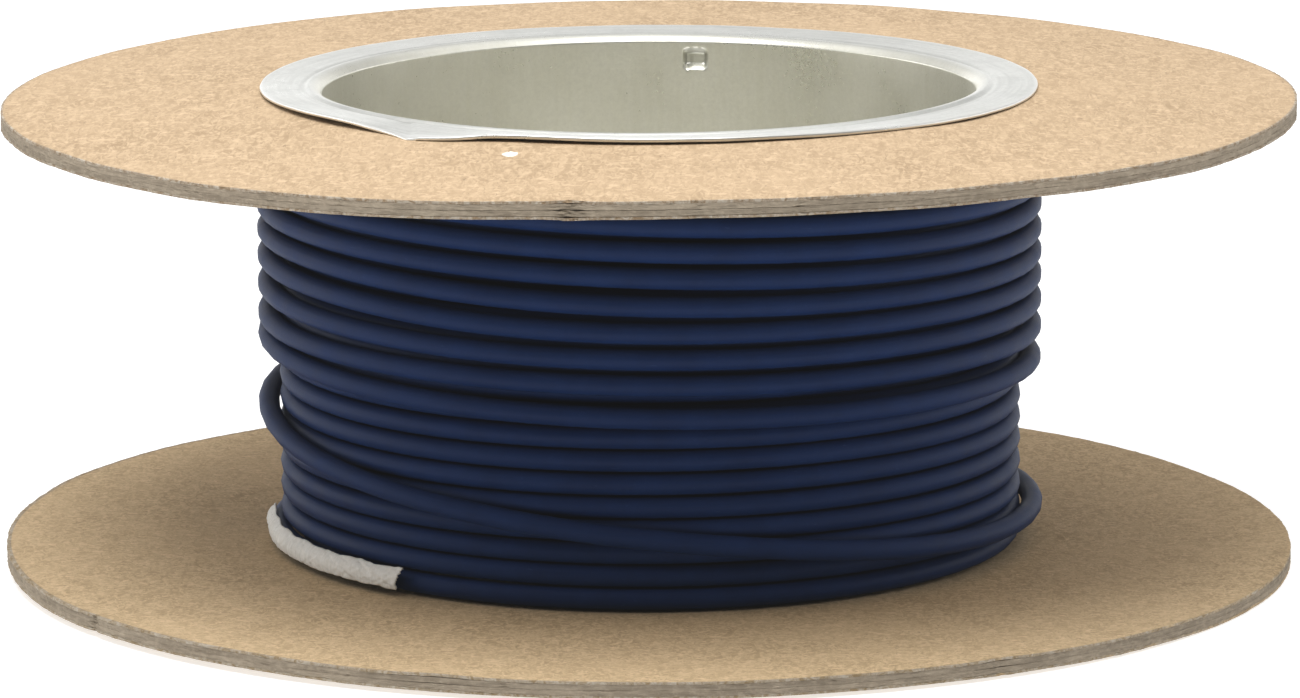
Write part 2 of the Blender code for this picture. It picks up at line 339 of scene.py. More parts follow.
def kraft_material(name, light, middle, dark, along, fibre_strength, marks=()):
    """Kraft paper: cloudy tone, a mottle of short curled fibres, pale strays, and a cut edge of pulp.

    along is how much longer than wide the fibres are, in the paper's machine direction, Y. marks are
    small pale scrapes, each (x, y, half length, half width) in millimetres."""
    n = Nodes(name)
    sheet = n.stretch(n.position, (1.0, 1.0 / along, 1.0))
    cloud = n.noise(n.position, 60.0, 4.0, 0.6)
    patch = n.noise(sheet, 420.0, 3.0, 0.6, 0.8)
    mottle = n.noise(sheet, 1500.0, 3.0, 0.6, 1.4)
    grain = n.noise(sheet, 3600.0, 3.0, 0.6, 0.5)
    colour = n.mix(n.remap(cloud, 0.34, 0.66), dark, middle)
    colour = n.tint(colour, light, n.remap(patch, 0.36, 0.66), 0.45)
    colour = n.mix(n.remap(mottle, 0.42, 0.62), colour, light)
    fibres = fibre_streaks(n, sheet)
    colour = n.tint(colour, paler(light, 1.2), fibres, fibre_strength)
    colour = n.tint(colour, darker(dark, 0.7), n.remap(grain, 0.40, 0.27), 0.7)
    specks = n.remap(n.noise(n.position, 1500.0, 1.0, 0.4), 0.735, 0.775)
    colour = n.tint(colour, darker(dark, 0.4), specks, 0.3)
    for mark in marks:
        colour = n.mix(scrape(n, grain, *mark), colour, (0.80, 0.77, 0.70))
    worn = n.remap(n.radius_mm(), FLANGE_RADIUS - 0.9, FLANGE_RADIUS - 0.15)
    worn = n.math("MULTIPLY", worn, n.remap(n.noise(n.position, 800.0, 3.0), 0.42, 0.7))
    colour = n.tint(colour, darker(dark, 0.75), worn, 0.3)
    cut = n.remap(n.radius_mm(), FLANGE_RADIUS - 0.22, FLANGE_RADIUS - 0.14)
    pulp = n.mix(n.remap(mottle, 0.35, 0.65), darker(dark, 0.7), (0.42, 0.37, 0.30))
    colour = n.mix(cut, colour, pulp)
    height = n.math("ADD", n.math("MULTIPLY", mottle, 0.7), n.math("MULTIPLY", fibres, 0.5))
    height = n.math("ADD", height, n.math("MULTIPLY", grain, 0.4))
    n.bump(height, 0.4, 0.00014)
    return n.surface(colour, n.remap(grain, 0.3, 0.7, 0.82, 0.96), specular=0.15)


def chipboard_material(name, light, dark):
    """Cut chipboard: grey-brown pulp with faint layers along the rim and torn pale fibres."""
    n = Nodes(name)
    layers = n.noise(n.stretch(n.position, (170.0, 170.0, 2600.0)), 1.0, 4.0, 0.6, 0.5)
    pulp = n.noise(n.stretch(n.position, (1100.0, 1100.0, 1900.0)), 1.0, 5.0, 0.7)
    blotch = n.noise(n.position, 210.0, 3.0, 0.55)
    colour = n.mix(n.remap(layers, 0.28, 0.66), dark, light)
    colour = n.tint(colour, paler(light, 1.35), n.remap(pulp, 0.46, 0.72), 0.6)
    colour = n.tint(colour, darker(dark, 0.8), n.remap(blotch, 0.55, 0.75), 0.35)
    scores = n.noise(n.stretch(n.position, (330.0, 330.0, 4200.0)), 1.0, 2.0, 0.5)
    colour = n.tint(colour, darker(dark, 0.55), n.remap(scores, 0.35, 0.27), 0.45)
    height = n.math("ADD", layers, n.math("MULTIPLY", pulp, 0.8))
    n.bump(height, 0.55, 0.00015)
    return n.surface(colour, n.remap(pulp, 0.3, 0.7, 0.88, 1.0), specular=0.15)


def metal_material():
    """Matte tinned sheet: cloudy oxide, a soft drawn grain, a cooler lip that is paler towards its
    edge, and a painted highlight on the roofs of the upper stops."""
    n = Nodes("tinned_sheet")
    drawn = n.noise(n.stretch(n.around(0.033), (1500.0, 130.0, 600.0)), 1.0, 4.0, 0.55)
    turned = n.noise(n.stretch(n.around(0.036), (70.0, 1400.0, 1900.0)), 1.0, 4.0, 0.6)
    cloud = n.noise(n.position, 120.0, 4.0, 0.6)
    smudge = n.noise(n.position, 330.0, 4.0, 0.65, 0.6)
    fine = n.noise(n.position, 2400.0, 4.0, 0.7)
    wall = n.mix(n.remap(cloud, 0.35, 0.68), (0.705, 0.693, 0.610), (0.77, 0.757, 0.672))
    wall = n.tint(wall, (0.825, 0.815, 0.755), n.remap(drawn, 0.40, 0.66), 0.3)
    wall = n.mix(n.remap(fine, 0.35, 0.68, 0.0, 0.35), wall, (0.57, 0.557, 0.49))
    lip_tone = n.mix(n.remap(turned, 0.34, 0.62), (0.585, 0.588, 0.556), (0.685, 0.688, 0.652))
    lip_tone = n.tint(lip_tone, (0.485, 0.488, 0.46), n.remap(smudge, 0.50, 0.66), 0.35)
    lip_tone = n.mix(n.remap(fine, 0.42, 0.66, 0.0, 0.25), lip_tone, (0.51, 0.512, 0.485))
    colour = n.mix(n.remap(n.radius_mm(), BARREL_RADIUS - 0.1, BARREL_RADIUS + 0.9), wall, lip_tone)
    # Painted highlight: the roofs of the upper stops' pockets are coloured near white, standing for
    # the light they catch.
    pocket = n.remap(n.radius_mm(), BORE_RADIUS + 0.04, BORE_RADIUS + 0.15)
    roof_foot = n.remap(n.height_mm(), STOP_ROOF - 0.8, STOP_ROOF - 0.65)
    roof_top = n.remap(n.height_mm(), STOP_ROOF + 0.1, STOP_ROOF)
    painted_roof_highlight = n.math("MULTIPLY", n.math("MULTIPLY", roof_foot, roof_top), pocket)
    colour = n.mix(painted_roof_highlight, colour, (0.98, 0.97, 0.92))
    # The lip is coloured paler over its last few tenths of a millimetre, towards its edge.
    edge_paling = n.remap(n.radius_mm(), LIP_RADIUS - 0.45, LIP_RADIUS - 0.1)
    colour = n.tint(colour, (0.86, 0.86, 0.84), edge_paling, 0.5)
    rough = n.math("ADD", n.remap(cloud, 0.3, 0.7, 0.27, 0.36), n.remap(fine, 0.3, 0.7, -0.04, 0.06))
    height = n.math("ADD", n.math("MULTIPLY", turned, 0.5), n.math("MULTIPLY", fine, 0.45))
    n.bump(height, 0.35, 0.00007)
    return n.surface(colour, rough, 0.85)


def wire_material():
    """Satin extruded insulation: navy with faint draw lines, a dusty bloom and scuffs."""
    n = Nodes("navy_insulation")
    lines = n.noise(n.stretch(n.around(0.037), (60.0, 4200.0, 4200.0)), 1.0, 4.0, 0.6)
    haze = n.noise(n.position, 210.0, 4.0, 0.6)
    fine = n.noise(n.position, 2600.0, 4.0, 0.7)
    colour = n.mix(n.remap(haze, 0.35, 0.7), (0.0024, 0.0150, 0.066), (0.0042, 0.0205, 0.085))
    colour = n.tint(colour, (0.008, 0.030, 0.110), n.remap(lines, 0.5, 0.75), 0.22)
    dust = n.math("MULTIPLY", n.remap(fine, 0.55, 0.78), n.remap(haze, 0.35, 0.7))
    colour = n.tint(colour, (0.05, 0.085, 0.18), dust, 0.15)
    scuffs = n.noise(n.stretch(n.around(0.037), (700.0, 2600.0, 2600.0)), 1.0, 2.0)
    colour = n.tint(colour, (0.05, 0.09, 0.20), n.remap(scuffs, 0.70, 0.78), 0.18)
    rough = n.math("ADD", n.remap(haze, 0.3, 0.7, 0.48, 0.58), n.math("MULTIPLY", fine, 0.08))
    n.bump(n.math("ADD", lines, n.math("MULTIPLY", fine, 0.8)), 0.28, 0.00006)
    return n.surface(colour, rough, specular=0.13)


def tape_material():
    """Crepe masking tape: greyed off-white paper with crosswise crinkles and grubby patches."""
    n = Nodes("masking_tape")
    crinkle = n.noise(n.stretch(n.around(0.038), (1900.0, 300.0, 300.0)), 1.0, 4.0, 0.62, 0.8)
    cloud = n.noise(n.position, 520.0, 4.0, 0.6)
    fine = n.noise(n.position, 3000.0, 3.0, 0.7)
    colour = n.mix(n.remap(crinkle, 0.34, 0.68), (0.69, 0.69, 0.655), (0.85, 0.845, 0.815))
    colour = n.tint(colour, (0.72, 0.70, 0.65), n.remap(cloud, 0.45, 0.66), 0.5)
    colour = n.tint(colour, (0.95, 0.945, 0.92), n.remap(fine, 0.5, 0.75), 0.35)
    n.bump(n.math("ADD", crinkle, n.math("MULTIPLY", fine, 0.5)), 0.6, 0.00014)
    return n.surface(colour, n.remap(crinkle, 0.3, 0.7, 0.72, 0.9), specular=0.25)


def floor_material():
    """A pale matte floor with a slight glow, which keeps it white under the spool's shadow."""
    n = Nodes("pale_floor")
    tone = n.noise(n.position, 6.0, 2.0)
    colour = n.mix(tone, (0.56, 0.56, 0.56), (0.60, 0.60, 0.60))
    n.shader.inputs["Emission Color"].default_value = (1.0, 1.0, 1.0, 1.0)
    n.shader.inputs["Emission Strength"].default_value = FLOOR_GLOW
    return n.surface(colour, n.remap(tone, 0.3, 0.7, 0.85, 0.95), specular=0.2)


# ---------------------------------------------------------------- boards

# How far each board's rim stands from flat, as (azimuth in degrees, millimetres)
UPPER_RIM = [
    (0, -0.8), (36, -1.2), (72, -1.15), (108, -1.2), (144, -1.45), (176, -1.45), (204, -1.3),
    (228, -1.28), (240, -1.12), (252, -0.84), (264, -0.45), (288, -0.4), (312, -0.62),
    (326, -0.82), (342, -0.72),
]
LOWER_RIM = [
    (0, -0.5), (24, -0.2), (48, 0.25), (90, 0.6), (132, 0.9), (156, 0.85), (180, 0.5),
    (204, -0.05), (228, -0.1), (264, -0.3), (300, -0.33), (336, -0.6),
]

# How far the inner part of the upper lip, from its bend outwards, has sunk, as (azimuth, millimetres)
LIP_SAG = [
    (0, 0.15), (17, 0.5), (50, 0.65), (90, 0.55), (130, 0.5), (150, 0.45), (180, 0.3),
    (200, 0.1), (215, 0.0), (270, 0.0), (330, 0.0),
]


def closed_curve(stations, azimuth):
    """A smooth closed curve through (azimuth, value) stations, read at any azimuth."""
    at = np.array([s[0] for s in stations] + [stations[0][0] + 360.0])
    value = np.array([s[1] for s in stations] + [stations[0][1]])
    before = np.concatenate([[at[-2] - 360.0], at[:-1]])
    slope = (np.roll(value[:-1], -1) - np.roll(value[:-1], 1)) / (at[1:] - before[:-1])
    slope = np.append(slope, slope[0])
    azimuth = np.asarray(azimuth) % 360.0
    span = np.clip(np.searchsorted(at, azimuth, side="right") - 1, 0, len(at) - 2)
    width = at[span + 1] - at[span]
    t = (azimuth - at[span]) / width
    return hermite(t, value[span], value[span + 1], slope[span] * width, slope[span + 1] * width)


def droop(radius):
    """0 at the lip's edge to 1 at the rim, bending most near the barrel."""
    share = np.clip((radius - LIP_RADIUS + 1) / (FLANGE_RADIUS - LIP_RADIUS + 1), 0.0, 1.2)
    return 1.5 * share - 0.5 * share**2


def upper_warp(radius, azimuth):
    """How far the upper board stands from flat, in millimetres: it is clamped a little askew at
    the barrel, follows the sunk lip there, is held a little high at the front, and its rim droops,
    least at the front."""
    hub = -0.0055 * radius * np.sin(np.radians(azimuth))
    under_lip = np.clip((LIP_RADIUS - radius) / 5.0, 0.0, 1.0)
    hub = hub - closed_curve(LIP_SAG, azimuth) * under_lip
    at_front = smooth((azimuth - 236.0) / 16.0) * smooth((326.0 - azimuth) / 20.0)
    hub = hub + 0.25 * at_front
    share = droop(radius)
    rim = closed_curve(UPPER_RIM, azimuth) + 0.03 * ripple(azimuth, 5, 9, 30)
    return hub * (1 - share) + rim * share


def lower_warp(radius, azimuth):
    """The lower board's stand from flat: its rim is high at the back left, low at the front right."""
    return (closed_curve(LOWER_RIM, azimuth) + 0.03 * ripple(azimuth, 6, 9, 30)) * droop(radius)


# Crushed or torn places on each rim: azimuth, half width in degrees, depth in millimetres
UPPER_NICKS = [(263.4, 1.2, 0.22), (274.0, 0.5, 0.07), (282.8, 0.4, 0.1), (243.5, 0.4, 0.12)]
LOWER_NICKS = [(213.6, 0.5, 0.25), (258.0, 0.7, 0.06), (301.0, 0.5, 0.12), (129.0, 0.8, 0.3)]

# Places where a rim's layers have spread apart: azimuth, half width, millimetres up and down
UPPER_SPREADS = [(263.4, 1.3, 0.12, 0.14), (270.0, 26.0, 0.0, 0.07)]
LOWER_SPREADS = [(252.0, 3.0, 0.12, 0.0), (301.0, 2.0, 0.1, 0.05), (128.0, 2.0, 0.1, 0.05)]


BOARD_CLEARANCE = 0.7             # a board's hole is this much wider, to stay clear of the stops


def disc_section(low, high, rings, rim_rows):
    """A disc's section from its hole over the top and rim and back under, as radii and heights,
    and the places in it of the rim's first and last points."""
    hole = BOARD_HOLE_RADIUS + BOARD_CLEARANCE
    inner = hole + (FLANGE_RADIUS - hole) * np.linspace(0.0, 1.0, rings)[:-2]
    corner = min(0.02, (high - low) * 0.2)
    insets = np.concatenate([[0.9, 0.35, corner], np.zeros(rim_rows), [corner, 0.35, 0.9]])
    first = len(inner)
    last = first + len(insets)
    radii = np.concatenate([inner, FLANGE_RADIUS - insets, inner[::-1]])
    middle, half = (high + low) / 2, (high - low) / 2
    heights = np.full(len(radii), middle + half)
    heights[first + 3:last - 3] = middle + (half - corner) * np.linspace(1.0, -1.0, rim_rows)
    heights[last - 3:] = middle - half
    return radii, heights, first, last


def board_disc(name, low, high, rim, columns=1800, rings=16, rim_rows=6):
    """One disc of a board, from low to high in millimetres, with a cut rim that isn't quite even.

    rim holds the disc's rim facts: warp, nicks, spreads, where the disc lies in its board (1 at the
    top, -1 at the foot), how far it is set out, how far its fibres stray, how far it sits to one
    side, and a seed."""
    rng = np.random.default_rng(rim["seed"])
    azimuth = np.arange(columns) * 360.0 / columns
    radii, heights, first, last = disc_section(low, high, rings, rim_rows)
    radius = np.repeat(radii[None, :], columns, axis=0)
    height = np.repeat(heights[None, :], columns, axis=0)

    stray = ripple(azimuth, rim["seed"], 20, 150) * 0.7 - 0.3
    tufts = (rng.random(columns) > 0.975) * rng.uniform(0.5, 1.8, columns)
    edge = rim["out"] + (stray + tufts) * rim["ragged"]
    crushed = np.zeros(columns)
    for centre, width, depth in rim["nicks"]:
        bite = near(azimuth, centre, width)
        edge = edge - depth * bite * rng.uniform(0.8, 1.0)
        crushed = np.maximum(crushed, bite * min(1.0, depth * 3))
    relief = rng.normal(size=(columns, rim_rows + 2))
    relief = relief + np.roll(relief, 1, axis=0) + np.roll(relief, 2, axis=0)
    relief = relief * (0.012 + 0.05 * crushed[:, None])
    radius[:, first:last] += edge[:, None]
    radius[:, first + 2:last - 2] += relief

    raised, lowered = max(rim["level"], 0.0), max(-rim["level"], 0.0)
    lift = np.zeros(columns)
    for centre, width, up, down in rim["spreads"]:
        lift = lift + near(azimuth, centre, width) * (up * raised - down * lowered)
    lift = lift + crushed * ripple(azimuth, 60 + rim["seed"], 90, 300) * 0.06
    at_rim = smooth((radius - (FLANGE_RADIUS - 2.5)) / 2.2)
    grid_azimuth = np.repeat(azimuth[:, None], radius.shape[1], axis=1)
    height = height + rim["warp"](radius, grid_azimuth) + at_rim * lift[:, None]
    points = xyz(radius, grid_azimuth, height) + np.array([rim["aside"] * MM, 0.0, 0.0])
    obj = skin(name, points, True, True)
    face_outward(obj)
    shade_round(obj.data, 50)
    return obj


def make_boards(kraft_upper, kraft_lower, chip_outer, chip_inner):
    """Both boards, each as its four laminated discs."""
    glue = 0.05                   # each glued face stands this much nearer to its neighbour
    layers = [
        # name, level when it lies on top, set out, stray fibres, rings of points, rows on the rim
        ("outer_liner", 1.0, 0.01, 0.03, 18, 3),
        ("outer_ply", 0.45, 0.0, 0.02, 5, 7),
        ("inner_ply", -0.45, 0.01, 0.02, 5, 7),
        ("inner_liner", -1.0, 0.03, 0.05, 18, 3),
    ]
    for side, warp, nicks, spreads, kraft in (
        ("upper", upper_warp, UPPER_NICKS, UPPER_SPREADS, kraft_upper),
        ("lower", lower_warp, LOWER_NICKS, LOWER_SPREADS, kraft_lower),
    ):
        up = 1 if side == "upper" else -1
        for number, (layer, level, out, ragged, rings, rim_rows) in enumerate(layers):
            node = f"{side}_{layer}"
            low, high = [corner[2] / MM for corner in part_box(node)]
            on_top = (number == 0) if up > 0 else (number == 3)
            at_foot = (number == 3) if up > 0 else (number == 0)
            rim = {
                "warp": warp, "nicks": nicks, "spreads": spreads, "level": level * up,
                "out": out, "ragged": ragged, "seed": 40 + number + (10 if up < 0 else 0),
                "aside": 0.0 if up > 0 else -0.2,
            }
            low = low if at_foot else low - glue
            high = high if on_top else high + glue
            disc = board_disc(f"{node}_disc", low, high, rim, rings=rings, rim_rows=rim_rows)
            is_liner = layer.endswith("liner")
            material = kraft if is_liner else (chip_outer if layer == "outer_ply" else chip_inner)
            place(disc, material, "kraft_liner" if is_liner else "chipboard", node)


# ---------------------------------------------------------------- barrel

def lip_section(bend, drop, band_points):
    """One side of the upper lip, from the bore wall to the lip's edge, as (radius, height)."""
    centre_r = BORE_RADIUS + BEND_RADIUS
    centre_z = TOTAL_HEIGHT - BEND_RADIUS
    angles = np.radians(np.linspace(180, 90, 10))
    points = [(centre_r + bend * math.cos(a), centre_z + bend * math.sin(a)) for a in angles]
    inner = np.arange(centre_r, GROOVE_RADIUS + 0.9, 0.12)[1:]
    outer = np.linspace(inner[-1], LIP_RADIUS - EDGE_ROUND, band_points + 1)[1:]
    for radius in np.concatenate([inner, outer]):
        fall = LIP_BAND_DROP * float(smooth((radius - centre_r - 0.1) / 0.8))
        groove = GROOVE_DEPTH * math.exp(-(((radius - GROOVE_RADIUS) / GROOVE_WIDTH) ** 2))
        points.append((radius, TOTAL_HEIGHT - drop - fall - groove))
    return points


def lip_edge():
    """The lip's rounded edge, from its upper face to its lower one, as (radius, height)."""
    middle = TOTAL_HEIGHT - LIP_BAND_DROP - SHEET / 2
    points = []
    for angle in np.radians(np.linspace(75, -75, 7)):
        radius = LIP_RADIUS - EDGE_ROUND + EDGE_ROUND * math.cos(angle)
        points.append((radius, middle + SHEET / 2 * math.sin(angle)))
    return points


def wall_heights(low, high):
    """Rows down the bore wall, close together where the stops are pressed."""
    stop_rows = np.arange(0.0, 3.8, 0.13)
    plain = np.linspace(low + 4.2, high - 4.2, 12)
    return np.concatenate([low + stop_rows, plain, (high - stop_rows)[::-1]])


def stop_push(azimuth, height):
    """How far the sheet is pushed out by the stops, in millimetres.

    Each stop is a small pocket with a sloping ledge at its open end and a shallow arched roof."""
    push = np.zeros_like(height)
    for centre in STOP_AZIMUTHS:
        across = np.radians(degrees_past(azimuth, centre)) * BORE_RADIUS
        for up in (True, False):
            below_roof = STOP_ROOF - height if up else height - (TOTAL_HEIGHT - STOP_ROOF)
            below_roof = below_roof - STOP_ARCH * (across / STOP_HALF_WIDTH) ** 2
            roof = np.clip(below_roof / 0.7, 0.0, 1.0)
            ledge = 1 - np.clip((below_roof - STOP_HEIGHT + STOP_LEDGE) / STOP_LEDGE, 0.0, 1.0)
            narrow = 0.25 * smooth((below_roof - STOP_HEIGHT + STOP_LEDGE) / STOP_LEDGE)
            right = 1 - smooth((across - STOP_HALF_WIDTH + 0.35 + narrow) / 0.35)
            left = 1 - smooth((-across - STOP_HALF_WIDTH + 0.6 + narrow) / 0.6)
            deeper = 1 + 0.2 * smooth((across - 0.2) / 0.6)
            push = np.maximum(push, roof * ledge * right * left * deeper)
    return push * STOP_DEPTH


# How far the upper lip's edge stands above the lip's true height, as (azimuth, millimetres)
LIP_EDGE = [
    (0, -0.2), (45, -0.33), (90, -0.4), (135, -0.33), (176, -0.2), (190, -0.02), (199, 0.14),
    (208, 0.31), (217, 0.39), (222, 0.31), (226, 0.12), (229, -0.06), (235, -0.2), (241, 0.0),
    (248, 0.48), (259, 0.6), (272, 0.52), (284, 0.47), (296, 0.38), (308, 0.25), (318, 0.14),
    (328, 0.05), (342, -0.1),
]


def lip_share(radius):
    """0 at the lip's bend to 1 at its edge."""
    bend_end = BARREL_RADIUS + 0.8
    return np.clip((radius - bend_end) / (LIP_RADIUS - bend_end), 0.0, 1.0)


def lip_sag(radius, azimuth, height):
    """The sag of the upper lip's bend, which leaves the lip's edge and the stops where they are."""
    above_stops = smooth((height - STOP_ROOF - 0.35) / 0.9)
    return closed_curve(LIP_SAG, azimuth) * (1 - lip_share(radius)) * above_stops


def upper_lip_change(radius, azimuth):
    """Change of (radius, height) over the upper lip: it is a little askew, its edge rises and falls,
    low at the seam and the back, and its lapped corner sticks out at the seam."""
    outward = lip_share(radius)
    askew = -0.0045 * radius * np.sin(np.radians(azimuth))
    edge = closed_curve(LIP_EDGE, azimuth) + 0.015 * ripple(azimuth, 21, 6, 24)
    height = askew * (1 - outward) + edge * outward
    ahead = degrees_past(azimuth, SEAM_AZIMUTH)
    before_seam = np.clip(1 + ahead / 6.0, 0.0, 1.0) ** 1.3
    after_seam = np.clip(1 - ahead / 11.0, 0.0, 1.0)
    corner = np.where(ahead < 0, before_seam, after_seam)
    trimmed = smooth((azimuth - 238.0) / 14.0) * smooth((322.0 - azimuth) / 30.0)
    grow = (1.1 * corner - 0.35 * trimmed) * outward**3
    grow = grow + 0.025 * ripple(azimuth, 22, 6, 40) * outward
    fold = SEAM_AZIMUTH - 7.0 + 8.5 * outward
    past = degrees_past(azimuth, fold)
    lap = 0.10 * smooth(past / 1.1 + 0.5) * (1 - smooth((past - 3.0) / 20.0))
    dent = -0.10 * np.exp(-(((past + 1.6) / 1.8) ** 2))
    lap = np.where(np.abs(past) < 60, lap + dent, 0.0) * smooth(outward * 4)
    return grow, height + lap


def lower_lip_change(radius, azimuth):
    """The lower lip is plain, with a faint ripple on its edge."""
    outward = lip_share(radius)
    return 0.03 * ripple(azimuth, 31, 6, 40) * outward, 0.02 * ripple(azimuth, 32, 3, 16) * outward


def barrel_azimuths():
    """Columns around the barrel, close together at the stops and the seam."""
    base = np.arange(0.0, 360.0, 1.0)
    fine = [np.arange(a - 3.6, a + 3.6, 0.18) for a in STOP_AZIMUTHS]
    fine.append(np.arange(SEAM_AZIMUTH - 14.0, SEAM_AZIMUTH + 16.0, 0.3))
    return np.unique(np.round(np.concatenate([base] + fine) % 360.0, 3))


def make_barrel(material):
    """The barrel as one closed sheet, turned from its section and then pressed and bent."""
    bore_face = lip_section(BEND_RADIUS, 0.0, 10)
    back_face = lip_section(BEND_RADIUS - SHEET, SHEET, 10)
    rows = wall_heights(BEND_RADIUS, TOTAL_HEIGHT - BEND_RADIUS)[1:-1]
    outside_wall = [(BARREL_RADIUS, z) for z in rows[::-1]]
    inside_wall = [(BORE_RADIUS, z) for z in rows]
    lower_lip = back_face + lip_edge()[::-1] + bore_face[::-1]
    lower_lip = [(r, TOTAL_HEIGHT - z) for r, z in lower_lip]
    section = back_face[::-1] + outside_wall + lower_lip + inside_wall + bore_face + lip_edge()
    section = np.array(section)
    azimuth = barrel_azimuths()
    grid_azimuth = np.repeat(azimuth[:, None], len(section), axis=1)
    radius = np.repeat(section[None, :, 0], len(azimuth), axis=0)
    height = np.repeat(section[None, :, 1], len(azimuth), axis=0)
    upper = smooth((height - (TOTAL_HEIGHT - 4.0)) / 2.0)
    lower = smooth((4.0 - height) / 2.0)
    grow_up, lift_up = upper_lip_change(radius, grid_azimuth)
    grow_low, lift_low = lower_lip_change(radius, grid_azimuth)
    push = stop_push(grid_azimuth, height) * (radius < BARREL_RADIUS + 0.01)
    sag = lip_sag(radius, grid_azimuth, height)
    radius = radius + push + grow_up * upper + grow_low * lower
    radius = radius + 0.015 * ripple(grid_azimuth, 23, 2, 9)
    height = height + lift_up * upper + lift_low * lower - sag
    barrel = skin("barrel_sheet", xyz(radius, grid_azimuth, height), True, True)
    face_outward(barrel)
    shade_round(barrel.data, 40)
    place(barrel, material, "barrel_metal", "barrel")


# ---------------------------------------------------------------- wire

def smooth_route(route, step):
    """Points along a smooth curve through a route's own points, every step degrees."""
    points = []
    for i in range(len(route) - 1):
        before = np.array(route[max(i - 1, 0)], float)
        here = np.array(route[i], float)
        there = np.array(route[i + 1], float)
        after = np.array(route[min(i + 2, len(route) - 1)], float)
        span = there[0] - here[0]
        slope_here = (there - before) / (there[0] - before[0]) * span
        slope_there = (after - here) / (after[0] - here[0]) * span
        count = max(1, round(span / step))
        for part in range(count):
            points.append(hermite(part / count, here, there, slope_here, slope_there))
    points.append(np.array(route[-1], float))
    return np.array(points)


STEP = 6.0                        # degrees between points along the wire
LAYER_1_TURNS = 19
LAYER_1_TOP = 44.3
LAYER_1_BOTTOM = 3.45
LAYER_1_END = 200.0               # azimuth where the first layer climbs to the second
LAYER_2_PITCH = 2.225
LAYER_2_START = 3.6               # height of the second layer's lowest row
LAYER_2_ROWS = 19
LAYER_2_TOP = 44.35
RISE_START, RISE_SPAN = 10.0, 120.0   # degrees at the back over which a row rises to the next
LAYER_2_END = 150.0               # azimuth where the second layer climbs to the third
LAYER_3_ROWS = 8
LAYER_3_TOP = 44.3

# The second layer's rows sag a little at the right, where the loose turn crosses them. There one
# row, counted from the foot, is pressed down, and the row under it lies a little higher.
RIGHT_SAG = 0.22
PRESSED_ROW = 8
PRESSED_DOWN = 0.49
PUSHED_UP = 0.12

# Heights of the third layer's rows in millimetres, top to bottom, at four azimuths at the front
ROWS = {
    210: [43.6, 41.15, 38.7, 36.2, 33.75, 31.0, 28.1, 25.2],
    257: [42.75, 40.35, 37.8, 35.3, 32.5, 29.75, 27.2, 24.8],
    318: [41.15, 38.7, 36.3, 33.85, 31.4, 29.15, 26.8, 24.25],
    357: [40.65, 38.2, 35.8, 33.2, 30.95, 28.75, 26.25, 23.45],
}


def first_layer():
    """The layer on the barrel, wound downwards; it climbs at its foot to become the second, and its
    end rows ride over the backs of the stops."""
    start = LAYER_1_END - 360.0 * LAYER_1_TURNS
    azimuth = np.arange(start, LAYER_1_END, STEP)
    share = (azimuth - start) / (LAYER_1_END - start)
    height = LAYER_1_TOP + (LAYER_1_BOTTOM - LAYER_1_TOP) * share
    reach = STOP_ROOF - STOP_HEIGHT - WIRE_DIAMETER
    beside = (height > reach) | (height < TOTAL_HEIGHT - reach)
    ride = np.max([near(azimuth, centre, 8.0) for centre in STOP_AZIMUTHS], axis=0)
    return np.stack([azimuth, LAYER_RADII[0] + ride * beside, height], axis=1)


def second_layer():
    """Wound upwards: level rows across the front, each rising to the next at the back. The last
    climbs to the third layer."""
    azimuth = np.arange(LAYER_1_END, 360.0 * LAYER_2_ROWS + LAYER_2_END, STEP)
    since_rise = azimuth - RISE_START
    row = np.floor(since_rise / 360.0) + smooth((since_rise % 360.0) / RISE_SPAN) - 1.0
    height = LAYER_2_START + LAYER_2_PITCH * np.maximum(row, 0.0)
    from_right = (azimuth - 290.0) % 360.0
    at_right = smooth(from_right / 60.0) * (1 - smooth((from_right - 80.0) / 60.0))
    pressed = PRESSED_DOWN * np.exp(-(((row - PRESSED_ROW) / 0.3) ** 2))
    pressed = pressed - PUSHED_UP * np.exp(-(((row - PRESSED_ROW + 1) / 0.3) ** 2))
    height = height - (RIGHT_SAG + pressed) * at_right * (height > LAYER_2_START + 1.0)
    height = np.minimum(height, LAYER_2_TOP)
    climb = smooth((azimuth - LAYER_1_END) / 34.0)
    climb = climb + smooth((azimuth - 360.0 * LAYER_2_ROWS + 40.0) / 90.0)
    return np.stack([azimuth, LAYER_RADII[0] + WIRE_DIAMETER * climb, height], axis=1)


def third_layer(start):
    """Wound downwards: each row drops to the next, across the front and round the back."""
    stations = [(LAYER_2_END, LAYER_3_TOP)]
    for number in range(LAYER_3_ROWS):
        for row_azimuth, heights in ROWS.items():
            stations.append((row_azimuth + 360.0 * number, heights[number]))
    end = 360.0 * LAYER_3_ROWS + CROSSING_ROUTE[0][0]
    stations.append((end, CROSSING_ROUTE[0][2]))
    at, level = np.array(stations).T
    azimuth = np.arange(LAYER_2_END, end, STEP)
    shifted = [np.interp(azimuth + shift, at, level) for shift in range(-18, 19, 6)]
    radius = np.full_like(azimuth, LAYER_RADII[2] + 0.02)
    return np.stack([azimuth + start - LAYER_2_END, radius, np.mean(shifted, axis=0)], axis=1)


def wire_route():
    """The whole wire, from its inner end on the barrel to its taped end, as one line."""
    first = first_layer()
    second = second_layer()
    third = third_layer(360.0 * LAYER_2_ROWS + LAYER_2_END)
    crossing = smooth_route(CROSSING_ROUTE, STEP)
    crossing[:, 0] += third[-1, 0] + STEP - crossing[0, 0]
    route = np.concatenate([first, second, third, crossing])
    wander = 0.035 * np.sin(route[:, 0] * 0.0213 + 1.0) + 0.03 * np.sin(route[:, 0] * 0.0571)
    route[:, 2] += wander * smooth((route[:, 2] - 4.5) / 2.0) * smooth((43.5 - route[:, 2]) / 2.0)
    return route


